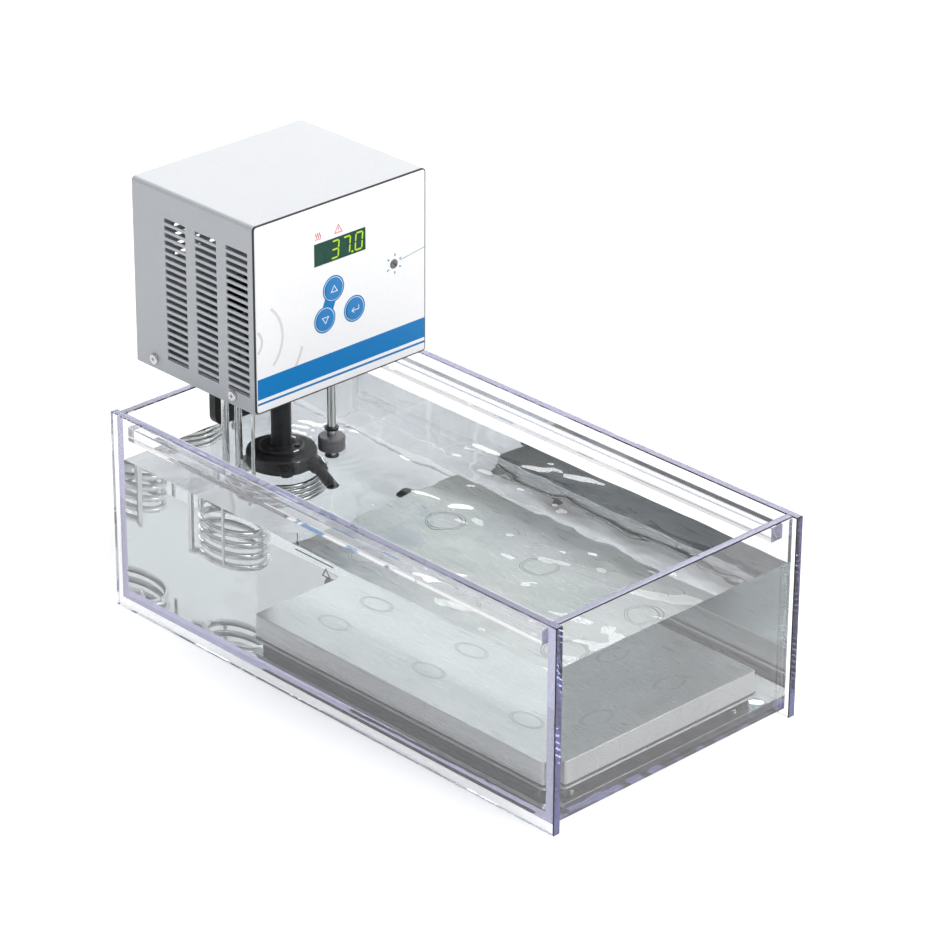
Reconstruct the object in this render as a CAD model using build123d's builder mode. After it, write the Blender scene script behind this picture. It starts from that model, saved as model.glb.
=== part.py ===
"""Water bath: clear acrylic tank, clip-on immersion thermostat and submersible stirrer plate."""
import os
from math import cos, radians, sin, sqrt

from build123d import *

os.makedirs("parts", exist_ok=True)

# ---------------------------------------------------------------- driving dimensions (mm)
# Tank, glued from clear acrylic plates. The two long plates run past the end plates and
# reach below the floor plate, so their lower edges are the runners the bath stands on.
tank_length = 556.0
tank_width = 292.0
tank_height = 192.0
wall = 8.0
end_inset = 5.0
floor_gap = 8.5
floor_thickness = 10.0
edge_polish = 0.8
glue_line = 0.05
ledge_size = 14.0
ledge_drop = 10.0
ledge_end_gap = 7.0

# Thermostat casing
case_depth = 160.0
case_width = 200.0
case_height = 175.0
case_lift = 30.0
case_overhang = 16.0
sheet = 1.5
bend = 4.0
lip = 11.0
base_thickness = 2.0
panel_thickness = 2.0
panel_margin = 1.2
fit_gap = 0.3

# Vent slots on both sides of the casing
slot_rows = 20
slot_columns = 3
slot_length = 28.0
slot_height = 4.1
slot_row_pitch = 6.87
slot_column_pitch = 40.5
slot_first_column = 56.5
slot_middle_height = 81.4

# Front panel controls: y across the panel, z above the bench
window_width = 59.6
window_height = 21.0
window_y = -1.7
window_z = 351.0
key_radius = 10.2
key_collar = 1.4
key_travel = 1.0
up_y = -9.7
up_z = 314.5
down_y = -20.2
down_z = 288.2
enter_y = 14.6
enter_z = 288.5
dial_y = 61.7
dial_z = 316.8
dial_radius = 4.2
board_gap = 10.4
board_thickness = 1.6

# Pump, measured from the tank's middle
pump_x = -195.0
pump_y = -19.0
motor_radius = 30.0
motor_height = 62.0
motor_stand = 8.0
shaft_radius = 3.0
column_radius = 9.25
column_flange_radius = 20.0
column_flange_top = 147.0
column_flange_thickness = 9.0
housing_radius = 32.0
housing_height = 26.0
housing_wall = 3.0
grille_thickness = 3.5
outlet_angle = -22.0
outlet_offset = 20.4
outlet_z = 123.0
outlet_stub_radius = 9.0
outlet_stub_reach = 37.0
nozzle_radius = 6.0
nozzle_bore = 4.0
nozzle_reach = 77.0
valve_offset = -10.0
valve_z = 126.0
valve_knob_radius = 6.5

# Heater, probes and float
tube_radius = 3.4
coil_radius = 38.0
coil_turns = 4
coil_pitch = 11.0
coil_bottom = 56.0
return_leg_radius = 49.6
leg_angle = 226.0
probe_x = -179.0
probe_y = -66.0
probe_radius = 1.8
probe_bottom = 62.0
safety_x = -231.0
safety_y = 15.7
safety_radius = 2.5
safety_bottom = 70.0
stem_x = -158.0
stem_y = 8.0
stem_radius = 4.0
stem_bottom = 127.0
float_radius = 12.25
float_height = 14.0
float_bottom = 146.0
float_fall = 14.0
float_rise = 6.0
running_gap = 0.1

# Clamp that grips the end wall
clamp_width = 90.0
clamp_jaw = 8.0
clamp_jaw_bottom = 150.0
clamp_arm_width = 36.0
clamp_arm_bottom = 158.0
clamp_screw_radius = 4.0
clamp_screw_z = 174.0
clamp_pad_radius = 11.0
clamp_pad_thickness = 5.0
clamp_travel = 4.5
clamp_knob_radius = 16.0
clamp_knob_depth = 18.0

# Submersible stirrer plate
stirrer_length = 356.0
stirrer_width = 228.0
stirrer_x = 70.0
stirrer_top = 50.0
stirrer_skin = 2.0
stirrer_corner = 3.0
stirrer_foot_height = 6.5
stirrer_seal_height = 1.5
place_pitch_x = 118.0
place_pitch_y = 112.0

# ---------------------------------------------------------------- derived positions
wall_half = tank_length / 2
end_outer = wall_half - end_inset
end_inner = end_outer - wall
side_inner = tank_width / 2 - wall
glued = side_inner - glue_line
floor_top = floor_gap + floor_thickness

# The clamp knob is the leftmost piece. Its reach past the tank shifts the tank to the right,
# so that the origin is under the middle of the whole.
arm_reach = 2 * clamp_pad_thickness + fit_gap + clamp_jaw
knob_reach = arm_reach + 3.0 + clamp_knob_depth
tank_x = (knob_reach - end_inset) / 2

case_back = tank_x - wall_half - case_overhang
case_front = case_back + case_depth
case_bottom = tank_height + case_lift
case_top = case_bottom + case_height
base_top = case_bottom + base_thickness
skin_front = case_front - panel_thickness
board_front = skin_front - board_gap
board_back = board_front - board_thickness

axis_x = tank_x + pump_x
axis_y = pump_y
flange_bottom = column_flange_top - column_flange_thickness
housing_bottom = flange_bottom - housing_height
motor_bottom = base_top + motor_stand
motor_top = motor_bottom + motor_height


def block(x0, x1, y0, y1, z0, z1, mode=Mode.ADD):
    """A box between two corners, in the part being built."""
    with Locations(((x0 + x1) / 2, (y0 + y1) / 2, (z0 + z1) / 2)):
        Box(x1 - x0, y1 - y0, z1 - z0, mode=mode)


def post(x, y, z0, z1, radius, mode=Mode.ADD):
    """An upright cylinder."""
    with Locations((x, y, (z0 + z1) / 2)):
        Cylinder(radius, z1 - z0, mode=mode)


def spindle(x0, x1, y, z, radius, mode=Mode.ADD):
    """A cylinder lying along X."""
    with Locations(((x0 + x1) / 2, y, z)):
        Cylinder(radius, x1 - x0, rotation=(0, 90, 0), mode=mode)


def outlet_point(reach, offset):
    """A point beside the pump axis: reach along the outlet direction, offset to its left."""
    a = radians(outlet_angle)
    return (axis_x + reach * cos(a) - offset * sin(a), axis_y + reach * sin(a) + offset * cos(a))


def level(x, y, z, angle):
    """A place whose own Z lies level, pointing at the given angle round from +X."""
    aim = (cos(radians(angle)), sin(radians(angle)), 0)
    return Plane(origin=(x, y, z), x_dir=(0, 0, 1), z_dir=aim).location


def outlet_rod(reach0, reach1, offset, z, radius, mode=Mode.ADD):
    """A cylinder lying along the outlet direction."""
    x, y = outlet_point((reach0 + reach1) / 2, offset)
    with Locations(level(x, y, z, outlet_angle)):
        Cylinder(radius, reach1 - reach0, mode=mode)


# ---------------------------------------------------------------- tank
def long_wall(side):
    """One of the two long plates; side is -1 for the front and 1 for the rear."""
    y = side * (tank_width - wall) / 2
    with BuildPart() as plate:
        block(tank_x - wall_half, tank_x + wall_half, y - wall / 2, y + wall / 2, 0, tank_height)
        chamfer(plate.edges(), edge_polish)
    return plate.part


def end_wall(side):
    """One of the two end plates, between the long plates."""
    x = tank_x + side * (end_outer - wall / 2)
    with BuildPart() as plate:
        block(x - wall / 2, x + wall / 2, -glued, glued, floor_gap, tank_height)
        chamfer(plate.faces().sort_by(Axis.Z)[-1].edges().filter_by(Axis.Y), edge_polish)
    return plate.part


def ledge(side):
    """The square bar glued inside a long wall, a little below its top edge."""
    reach = end_inner - ledge_end_gap
    y0 = glued - ledge_size if side > 0 else -glued
    z1 = tank_height - ledge_drop
    with BuildPart() as bar:
        block(tank_x - reach, tank_x + reach, y0, y0 + ledge_size, z1 - ledge_size, z1)
        chamfer(bar.edges().filter_by(Axis.X), edge_polish)
    return bar.part


tank_front_wall = long_wall(-1)
tank_front_wall.label = "tank_front_wall"
tank_rear_wall = long_wall(1)
tank_rear_wall.label = "tank_rear_wall"
tank_left_wall = end_wall(-1)
tank_left_wall.label = "tank_left_wall"
tank_right_wall = end_wall(1)
tank_right_wall.label = "tank_right_wall"
ledge_front = ledge(-1)
ledge_front.label = "ledge_front"
ledge_rear = ledge(1)
ledge_rear.label = "ledge_rear"

with BuildPart() as tank_floor:
    block(tank_x - end_inner + glue_line, tank_x + end_inner - glue_line, -glued, glued,
          floor_gap, floor_top)
tank_floor.part.label = "tank_floor"

# ---------------------------------------------------------------- stirrer plate
plate_x = tank_x + stirrer_x
foot_top = floor_top + stirrer_foot_height
pan_top = foot_top + stirrer_skin
cover_bottom = pan_top + stirrer_seal_height
screw_inset = 16.0
foot_y = 108.6
screw_columns = 4
screw_x_pitch = (stirrer_length - 2 * screw_inset) / (screw_columns - 1)
screw_y_pitch = stirrer_width - 2 * screw_inset
stirrer_middle = Location((plate_x, 0, 0))

with BuildPart() as stirrer_feet:
    with BuildSketch(Plane.XY.offset(floor_top)):
        with Locations((plate_x, -foot_y), (plate_x, foot_y)):
            SlotOverall(340, 10.5)
    extrude(amount=stirrer_foot_height)
    chamfer(stirrer_feet.faces().sort_by(Axis.Z)[:2].edges(), 1.0)
stirrer_feet.part.label = "stirrer_feet"

with BuildPart() as stirrer_base:
    with BuildSketch(Plane.XY.offset(foot_top)):
        with Locations((plate_x, 0)):
            RectangleRounded(stirrer_length + 5, stirrer_width + 5, stirrer_corner + 2)
            with GridLocations(screw_x_pitch, screw_y_pitch, screw_columns, 2):
                Circle(2.1, mode=Mode.SUBTRACT)
    extrude(amount=stirrer_skin)
    with BuildSketch(Plane.XY.offset(pan_top)):
        with Locations((plate_x, 0)):
            with GridLocations(130, 80, 3, 2):
                Circle(4)
    extrude(amount=2.0)
stirrer_base.part.label = "stirrer_base"

with BuildPart() as stirrer_seal:
    with BuildSketch(Plane.XY.offset(pan_top)):
        with Locations((plate_x, 0)):
            RectangleRounded(stirrer_length, stirrer_width, stirrer_corner)
            RectangleRounded(stirrer_length - 14, stirrer_width - 14, stirrer_corner / 2, mode=Mode.SUBTRACT)
    extrude(amount=stirrer_seal_height)
stirrer_seal.part.label = "stirrer_seal"

gland_y = 60.0
gland_z = (cover_bottom + stirrer_top) / 2
with BuildPart() as stirrer_cover:
    with BuildSketch(Plane.XY.offset(cover_bottom)):
        with Locations((plate_x, 0)):
            RectangleRounded(stirrer_length, stirrer_width, stirrer_corner)
    extrude(amount=stirrer_top - cover_bottom)
    fillet(stirrer_cover.faces().sort_by(Axis.Z)[-1].edges(), 1.0)
    with BuildSketch(Plane.XY.offset(cover_bottom)):
        with Locations((plate_x, 0)):
            RectangleRounded(stirrer_length - 2 * stirrer_skin, stirrer_width - 2 * stirrer_skin, 6)
    extrude(amount=stirrer_top - stirrer_skin - cover_bottom, mode=Mode.SUBTRACT)
    with BuildSketch(Plane.XY.offset(pan_top)):
        with Locations((plate_x, 0)):
            with GridLocations(screw_x_pitch, screw_y_pitch, screw_columns, 2):
                Circle(5)
    extrude(amount=stirrer_top - stirrer_skin - pan_top)
    with BuildSketch(Plane.XY.offset(pan_top)):
        with Locations((plate_x, 0)):
            with GridLocations(screw_x_pitch, screw_y_pitch, screw_columns, 2):
                Circle(2.05)
    extrude(amount=12, mode=Mode.SUBTRACT)
    gland_face = plate_x - stirrer_length / 2
    spindle(gland_face - 1, gland_face + stirrer_skin + 1, gland_y, gland_z, 5.1, mode=Mode.SUBTRACT)
stirrer_cover.part.label = "stirrer_cover"

with BuildPart() as stirrer_screws:
    with BuildSketch(Plane.XY.offset(foot_top)):
        with Locations((plate_x, 0)):
            with GridLocations(screw_x_pitch, screw_y_pitch, screw_columns, 2):
                Circle(2.0)
    extrude(amount=stirrer_skin + 10)
    with BuildSketch(Plane.XY.offset(foot_top)):
        with Locations((plate_x, 0)):
            with GridLocations(screw_x_pitch, screw_y_pitch, screw_columns, 2):
                Circle(3.8)
    extrude(amount=-2.4)
    chamfer(stirrer_screws.faces().sort_by(Axis.Z)[:8].edges(), 0.6)
    with BuildSketch(Plane.XY.offset(foot_top - 2.4)):
        with Locations((plate_x, 0)):
            with GridLocations(screw_x_pitch, screw_y_pitch, screw_columns, 2):
                RegularPolygon(1.5, 6)
    extrude(amount=1.4, mode=Mode.SUBTRACT)
stirrer_screws.part.label = "stirrer_screws"

with BuildPart() as stirrer_board:
    with BuildSketch(Plane.XY.offset(pan_top + 2.0)):
        with Locations((plate_x, 0)):
            RectangleRounded(312, 178, 3)
    extrude(amount=board_thickness)
stirrer_board.part.label = "stirrer_board"

coil_floor = pan_top + 2.0 + board_thickness
with BuildPart() as stirrer_coils:
    with BuildSketch(Plane.XY.offset(coil_floor)):
        with Locations((plate_x, 0)):
            with GridLocations(place_pitch_x, 88, 3, 2):
                with PolarLocations(21, 4, start_angle=45):
                    Circle(9.5)
                    Circle(3, mode=Mode.SUBTRACT)
    extrude(amount=13)
stirrer_coils.part.label = "stirrer_coils"

with BuildPart() as stirrer_gland:
    spindle(gland_face - 5, gland_face, gland_y, gland_z, 8.0)
    spindle(gland_face - 14, gland_face - 5, gland_y, gland_z, 7.0)
    spindle(gland_face, gland_face + 8, gland_y, gland_z, 5.0)
    fillet(stirrer_gland.faces().sort_by(Axis.X)[0].edges(), 2.0)
    spindle(gland_face - 15, gland_face + 9, gland_y, gland_z, 2.6, mode=Mode.SUBTRACT)
stirrer_gland.part.label = "stirrer_gland"

# ---------------------------------------------------------------- casing of the thermostat
half_case = case_width / 2
case_middle_z = (case_bottom + case_top) / 2
side_screw_x = (case_back + 24.5, case_back + 129.5)
side_screw_z = case_bottom + 9.0
side_screw_radius = 2.0
rear_lip_front = case_back + 2 * sheet
front_lip_back = skin_front - sheet

side_hollow = half_case - sheet
lip_centre_z = (case_bottom + case_top - sheet) / 2


def casing_profile(plane, inset, length, mode=Mode.ADD):
    """The casing's cross-section, closed at the top and open below, drawn along X."""
    with BuildSketch(plane) as outline:
        with Locations((0, (case_bottom + case_top - inset) / 2)):
            Rectangle(case_width - 2 * inset, case_height - inset)
        fillet(outline.vertices().group_by(Axis.Y)[-1], bend - inset)
    extrude(outline.sketch, amount=length, mode=mode)


with BuildPart() as head_cover:
    casing_profile(Plane.YZ.offset(case_back), 0, skin_front - case_back)
    casing_profile(Plane.YZ.offset(case_back), sheet, skin_front - case_back, Mode.SUBTRACT)
    for lip_back in (case_back + sheet, front_lip_back):
        with BuildSketch(Plane.YZ.offset(lip_back)):
            with Locations((0, lip_centre_z)):
                Rectangle(2 * side_hollow + 0.2, case_height - sheet)
                Rectangle(2 * (side_hollow - lip), case_height - sheet - 2 * lip, mode=Mode.SUBTRACT)
        extrude(amount=sheet)
    with BuildSketch(Plane.YZ.offset(case_back)) as keep:
        with Locations((0, case_middle_z)):
            Rectangle(case_width, case_height)
        fillet(keep.vertices().group_by(Axis.Y)[-1], bend)
    extrude(amount=skin_front - case_back, mode=Mode.INTERSECT)
    with BuildSketch(Plane.XZ):
        with Locations((case_back + slot_first_column + slot_column_pitch, case_bottom + slot_middle_height)):
            with GridLocations(slot_column_pitch, slot_row_pitch, slot_columns, slot_rows):
                Rectangle(slot_length, slot_height)
        with Locations(*[(x, side_screw_z) for x in side_screw_x]):
            Circle(side_screw_radius + 0.1)
    extrude(amount=case_width, both=True, mode=Mode.SUBTRACT)
head_cover.part.label = "head_cover"

base_back = rear_lip_front + fit_gap
base_front = front_lip_back - fit_gap
base_half = side_hollow - running_gap
clamp_bolt_x = tank_x - end_inner + 3.0
clamp_bolt_y = 30.0


def around_pump(radius, angle):
    """A point at a radius and angle from the pump axis."""
    return (axis_x + radius * cos(radians(angle)), axis_y + radius * sin(radians(angle)))


leg_a = around_pump(coil_radius, leg_angle)
leg_b = around_pump(return_leg_radius, leg_angle)
probe_at = (tank_x + probe_x, probe_y)
safety_at = (tank_x + safety_x, safety_y)
stem_at = (tank_x + stem_x, stem_y)

with BuildPart() as head_base:
    block(base_back, base_front, -base_half, base_half, case_bottom, base_top)
    for side in (-1, 1):
        inner = side * (base_half - base_thickness)
        block(base_back, base_front, min(inner, side * base_half), max(inner, side * base_half),
              base_top, side_screw_z + 6)
    post(axis_x, axis_y, case_bottom - 1, base_top + 1, 8.0, Mode.SUBTRACT)
    for x, y in (leg_a, leg_b):
        post(x, y, case_bottom - 1, base_top + 1, tube_radius + running_gap, Mode.SUBTRACT)
    post(*probe_at, case_bottom - 1, base_top + 1, probe_radius + running_gap, Mode.SUBTRACT)
    post(*safety_at, case_bottom - 1, base_top + 1, safety_radius + running_gap, Mode.SUBTRACT)
    post(*stem_at, case_bottom - 1, base_top + 1, stem_radius + running_gap, Mode.SUBTRACT)
    for side in (-1, 1):
        post(clamp_bolt_x, side * clamp_bolt_y, case_bottom - 1, base_top + 1, 2.6, Mode.SUBTRACT)
    with BuildSketch(Plane.XZ):
        with Locations(*[(x, side_screw_z) for x in side_screw_x]):
            Circle(side_screw_radius + 0.05)
    extrude(amount=case_width, both=True, mode=Mode.SUBTRACT)
head_base.part.label = "head_base"

inlet_y = 52.0
inlet_z = case_bottom + 34.0
switch_y = 8.0
switch_z = inlet_z
rear_screw_y = half_case - 7.0
rear_screw_z = (case_bottom + 6.0, case_top - 7.0)

with BuildPart() as rear_panel:
    block(case_back, case_back + sheet, -side_hollow + 0.2, side_hollow - 0.2,
          case_bottom + 0.2, case_top - sheet - 0.2)
    fillet(rear_panel.edges().filter_by(Axis.X).group_by(Axis.Z)[-1], bend - sheet)
    with BuildSketch(Plane.YZ.offset(case_back)):
        with Locations((inlet_y, inlet_z)):
            Rectangle(27.6, 20.6)
        with Locations((switch_y, switch_z)):
            Rectangle(19.4, 28.8)
        with Locations((0, case_bottom + 112)):
            with GridLocations(40, 9, 3, 6):
                SlotOverall(30, 3.4)
        with Locations(*[(s * rear_screw_y, z) for s in (-1, 1) for z in rear_screw_z]):
            Circle(1.6)
    extrude(amount=sheet, mode=Mode.SUBTRACT)
rear_panel.part.label = "rear_panel"

panel_half = half_case - panel_margin
panel_low = case_bottom + panel_margin
panel_high = case_top - panel_margin
panel_mid_z = (panel_low + panel_high) / 2
keys = {"key_up": (up_y, up_z), "key_down": (down_y, down_z), "key_enter": (enter_y, enter_z)}

with BuildPart() as front_panel:
    with BuildSketch(Plane.YZ.offset(skin_front)):
        with Locations((0, panel_mid_z)):
            RectangleRounded(2 * panel_half, panel_high - panel_low, bend - panel_margin)
        with Locations((window_y, window_z)):
            Rectangle(window_width + fit_gap, window_height + fit_gap, mode=Mode.SUBTRACT)
        with Locations(*keys.values()):
            Circle(key_radius + 0.2, mode=Mode.SUBTRACT)
        with Locations((dial_y, dial_z)):
            Circle(dial_radius + 0.2, mode=Mode.SUBTRACT)
    extrude(amount=panel_thickness)
    chamfer(front_panel.faces().sort_by(Axis.X)[-1].outer_wire().edges(), 0.4)
front_panel.part.label = "front_panel"

with BuildPart() as panel_gasket:
    with BuildSketch(Plane.YZ.offset(skin_front)):
        with Locations((0, case_middle_z)):
            RectangleRounded(case_width, case_height, bend)
        with Locations((0, panel_mid_z)):
            RectangleRounded(2 * panel_half + 0.1, panel_high - panel_low + 0.1, bend - panel_margin,
                             mode=Mode.SUBTRACT)
    extrude(amount=panel_thickness - 0.5)
panel_gasket.part.label = "panel_gasket"


def side_screws():
    """Pan-head screws through the casing's sides into the base plate's flanges."""
    with BuildPart() as screws:
        for side in (-1, 1):
            for x in side_screw_x:
                with Locations(Location((x, side * half_case, side_screw_z), (-90 * side, 0, 0))):
                    Cylinder(side_screw_radius, 8, align=(Align.CENTER, Align.CENTER, Align.MAX))
                    Cylinder(5.0, 2.4, align=(Align.CENTER, Align.CENTER, Align.MIN))
        for face in (screws.faces().sort_by(Axis.Y)[:2] + screws.faces().sort_by(Axis.Y)[-2:]):
            fillet(face.edges(), 1.2)
        for side in (-1, 1):
            for x in side_screw_x:
                with Locations((x, side * (half_case + 1.8), side_screw_z)):
                    Box(4.2, 1.8, 0.9, mode=Mode.SUBTRACT)
                    Box(0.9, 1.8, 4.2, mode=Mode.SUBTRACT)
    return screws.part


cover_screws = side_screws()
cover_screws.label = "cover_screws"

with BuildPart() as rear_screws:
    for side in (-1, 1):
        for z in rear_screw_z:
            spindle(case_back - 1.8, case_back, side * rear_screw_y, z, 3.0)
            spindle(case_back, case_back + sheet, side * rear_screw_y, z, 1.5)
            with Locations((case_back - 1.6, side * rear_screw_y, z)):
                Box(1.4, 3.4, 0.8, mode=Mode.SUBTRACT)
                Box(1.4, 0.8, 3.4, mode=Mode.SUBTRACT)
rear_screws.part.label = "rear_screws"

# ---------------------------------------------------------------- controls
window_back = skin_front - 1.0
with BuildPart() as display_window:
    block(window_back, case_front + 0.2, window_y - window_width / 2, window_y + window_width / 2,
          window_z - window_height / 2, window_z + window_height / 2)
    chamfer(display_window.faces().sort_by(Axis.X)[-1].edges(), 0.3)
display_window.part.label = "display_window"

with BuildPart() as display_module:
    block(board_front, window_back - 0.2, window_y - 33, window_y + 33, window_z - 14, window_z + 14)
display_module.part.label = "display_module"

standoff_y = 74.0
standoff_z = (case_bottom + 26.0, case_top - 24.0)
with BuildPart() as control_board:
    block(board_back, board_front, -80, 80, standoff_z[0] - 6, standoff_z[1] + 6)
    for y in (-standoff_y, standoff_y):
        for z in standoff_z:
            spindle(board_back - 1, board_front + 1, y, z, 1.6, Mode.SUBTRACT)
control_board.part.label = "control_board"

with BuildPart() as board_posts:
    for y in (-standoff_y, standoff_y):
        for z in standoff_z:
            spindle(board_front, skin_front, y, z, 3.0)
            spindle(board_back - 2, board_front, y, z, 1.5)
board_posts.part.label = "board_posts"

key_back = board_front + 3.0 + key_travel + 0.2
with BuildPart() as key_switches:
    for y, z in keys.values():
        block(board_front, board_front + 2.2, y - 3, y + 3, z - 3, z + 3)
        spindle(board_front + 2.2, board_front + 3.0, y, z, 1.7)
key_switches.part.label = "key_switches"


def key_cap(y, z):
    """A round key: a low domed cap, a collar behind the panel and a stem to its switch."""
    with BuildPart() as cap:
        spindle(skin_front - 2.0, case_front + 1.0, y, z, key_radius)
        fillet(cap.faces().sort_by(Axis.X)[-1].edges(), 0.7)
        spindle(skin_front - 2.0, skin_front - 0.1, y, z, key_radius + key_collar)
        spindle(key_back, skin_front - 2.0, y, z, 2.5)
    return cap.part


key_up = key_cap(up_y, up_z)
key_up.label = "key_up"
key_down = key_cap(down_y, down_z)
key_down.label = "key_down"
key_enter = key_cap(enter_y, enter_z)
key_enter.label = "key_enter"

pot_front = board_front + 6.0
with BuildPart() as limit_pot:
    block(board_front, pot_front, dial_y - 7, dial_y + 7, dial_z - 7, dial_z + 7)
    spindle(board_front, pot_front, dial_y, dial_z, 2.1, Mode.SUBTRACT)
limit_pot.part.label = "limit_pot"

with BuildPart() as limit_dial:
    spindle(pot_front + 0.5, case_front + 0.8, dial_y, dial_z, dial_radius)
    chamfer(limit_dial.faces().sort_by(Axis.X)[-1].edges(), 0.4)
    spindle(board_front + 0.5, pot_front + 0.5, dial_y, dial_z, 2.0)
    with Locations(Location((case_front + 0.4, dial_y, dial_z), (40, 0, 0))):
        Box(1.4, 1.2, 6.6, mode=Mode.SUBTRACT)
limit_dial.part.label = "limit_dial"

# ---------------------------------------------------------------- mains inlet, switch and supply
with BuildPart() as power_inlet:
    block(case_back - 2.5, case_back, inlet_y - 17, inlet_y + 17, inlet_z - 13.5, inlet_z + 13.5)
    fillet(power_inlet.edges().filter_by(Axis.X), 2.5)
    block(case_back, case_back + 22, inlet_y - 13.5, inlet_y + 13.5, inlet_z - 10, inlet_z + 10)
    with BuildSketch(Plane.YZ.offset(case_back - 2.5)) as socket:
        with Locations((inlet_y, inlet_z)):
            Rectangle(24, 16.5)
        chamfer(socket.vertices().group_by(Axis.Y)[-1], 4.5)
    extrude(amount=17, mode=Mode.SUBTRACT)
power_inlet.part.label = "power_inlet"

with BuildPart() as inlet_pins:
    for offset_y, offset_z in ((-7, -2), (0, 2), (7, -2)):
        y = inlet_y + offset_y
        z = inlet_z + offset_z
        block(case_back + 0.5, case_back + 14.5, y - 1, y + 1, z - 2, z + 2)
inlet_pins.part.label = "inlet_pins"

with BuildPart() as switch_frame:
    block(case_back - 2.0, case_back, switch_y - 10.5, switch_y + 10.5, switch_z - 16, switch_z + 16)
    fillet(switch_frame.edges().filter_by(Axis.X), 1.5)
    block(case_back, case_back + 20, switch_y - 9.5, switch_y + 9.5, switch_z - 14.2, switch_z + 14.2)
    block(case_back - 3, case_back + 14, switch_y - 7.0, switch_y + 7.0, switch_z - 12.8, switch_z + 12.8,
          Mode.SUBTRACT)
switch_frame.part.label = "switch_frame"

with BuildPart() as switch_rocker:
    with BuildSketch(Plane.XZ.offset(-switch_y)):
        with BuildLine():
            Polyline((case_back - 4.4, switch_z - 9.4), (case_back - 0.6, switch_z),
                     (case_back - 0.4, switch_z + 10.4), (case_back + 6.0, switch_z + 8.0),
                     (case_back + 7.0, switch_z), (case_back + 6.0, switch_z - 8.0),
                     (case_back - 2.6, switch_z - 10.6), close=True)
        make_face()
    extrude(amount=6.6, both=True)
switch_rocker.part.label = "switch_rocker"

supply_x = case_back + 30.0
supply_y = 62.0
with BuildPart() as power_board:
    block(supply_x - 20, supply_x + 88, supply_y - 28, supply_y + 30, base_top + 6, base_top + 7.6)
power_board.part.label = "power_board"

with BuildPart() as transformer:
    block(supply_x + 32, supply_x + 80, supply_y - 22, supply_y + 22, base_top + 7.6, base_top + 14)
    block(supply_x + 38, supply_x + 74, supply_y - 20, supply_y + 20, base_top + 14, base_top + 48)
    block(supply_x + 46, supply_x + 66, supply_y - 24, supply_y + 24, base_top + 18, base_top + 44)
transformer.part.label = "transformer"

with BuildPart() as board_stands:
    for x in (supply_x - 16, supply_x + 84):
        for y in (supply_y - 24, supply_y + 26):
            post(x, y, base_top, base_top + 6, 3.0)
board_stands.part.label = "board_stands"

# ---------------------------------------------------------------- pump
with BuildPart() as pump_motor:
    post(axis_x, axis_y, motor_bottom, motor_top, motor_radius)
    chamfer(pump_motor.faces().filter_by(Axis.Z).edges(), 2.0)
    for z in (motor_bottom + 12, motor_top - 12):
        post(axis_x, axis_y, z - 0.8, z + 0.8, motor_radius + 1, Mode.SUBTRACT)
        post(axis_x, axis_y, z - 0.8, z + 0.8, motor_radius - 1)
    post(axis_x, axis_y, motor_bottom - 1, motor_top + 1, shaft_radius + running_gap, Mode.SUBTRACT)
pump_motor.part.label = "pump_motor"

with BuildPart() as motor_posts:
    for angle in (60, 180, 300):
        x, y = around_pump(24.0, angle)
        post(x, y, base_top, motor_bottom, 3.5)
motor_posts.part.label = "motor_posts"

fan_bottom = motor_top + 4.0
with BuildPart() as cooling_fan:
    post(axis_x, axis_y, fan_bottom, fan_bottom + 11, 9.0)
    with Locations((axis_x, axis_y, fan_bottom + 5.5)):
        with PolarLocations(20, 7):
            Box(26, 1.6, 9, rotation=(38, 0, 0))
    post(axis_x, axis_y, fan_bottom - 1, fan_bottom + 12, shaft_radius, Mode.SUBTRACT)
cooling_fan.part.label = "cooling_fan"

impeller_bottom = housing_bottom + 4.0
impeller_top = flange_bottom - housing_wall - 4.0
with BuildPart() as pump_shaft:
    post(axis_x, axis_y, impeller_bottom, fan_bottom + 13, shaft_radius)
    chamfer(pump_shaft.faces().filter_by(Axis.Z).edges(), 0.5)
pump_shaft.part.label = "pump_shaft"

with BuildPart() as impeller:
    post(axis_x, axis_y, impeller_top - 2.5, impeller_top, 23.0)
    post(axis_x, axis_y, impeller_bottom + 1, impeller_top, 6.5)
    with Locations((axis_x, axis_y, (impeller_bottom + 1 + impeller_top) / 2)):
        with PolarLocations(13.5, 6):
            Box(17, 1.8, impeller_top - impeller_bottom - 1)
    post(axis_x, axis_y, impeller_bottom - 1, impeller_top + 1, shaft_radius, Mode.SUBTRACT)
impeller.part.label = "impeller"

with BuildPart() as pump_column:
    post(axis_x, axis_y, flange_bottom, case_bottom, column_radius)
    post(axis_x, axis_y, flange_bottom, column_flange_top, column_flange_radius)
    post(axis_x, axis_y, case_bottom - 4, case_bottom, 16.0)
    fillet(pump_column.edges().filter_by(GeomType.CIRCLE).group_by(Axis.Z)[1], 1.5)
    for angle in (30, 150, 270):
        x, y = around_pump(14.6, angle)
        post(x, y, column_flange_top, column_flange_top + 2.2, 2.8)
    post(axis_x, axis_y, flange_bottom - 1, case_bottom + 1, 6.0, Mode.SUBTRACT)
pump_column.part.label = "pump_column"

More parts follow.
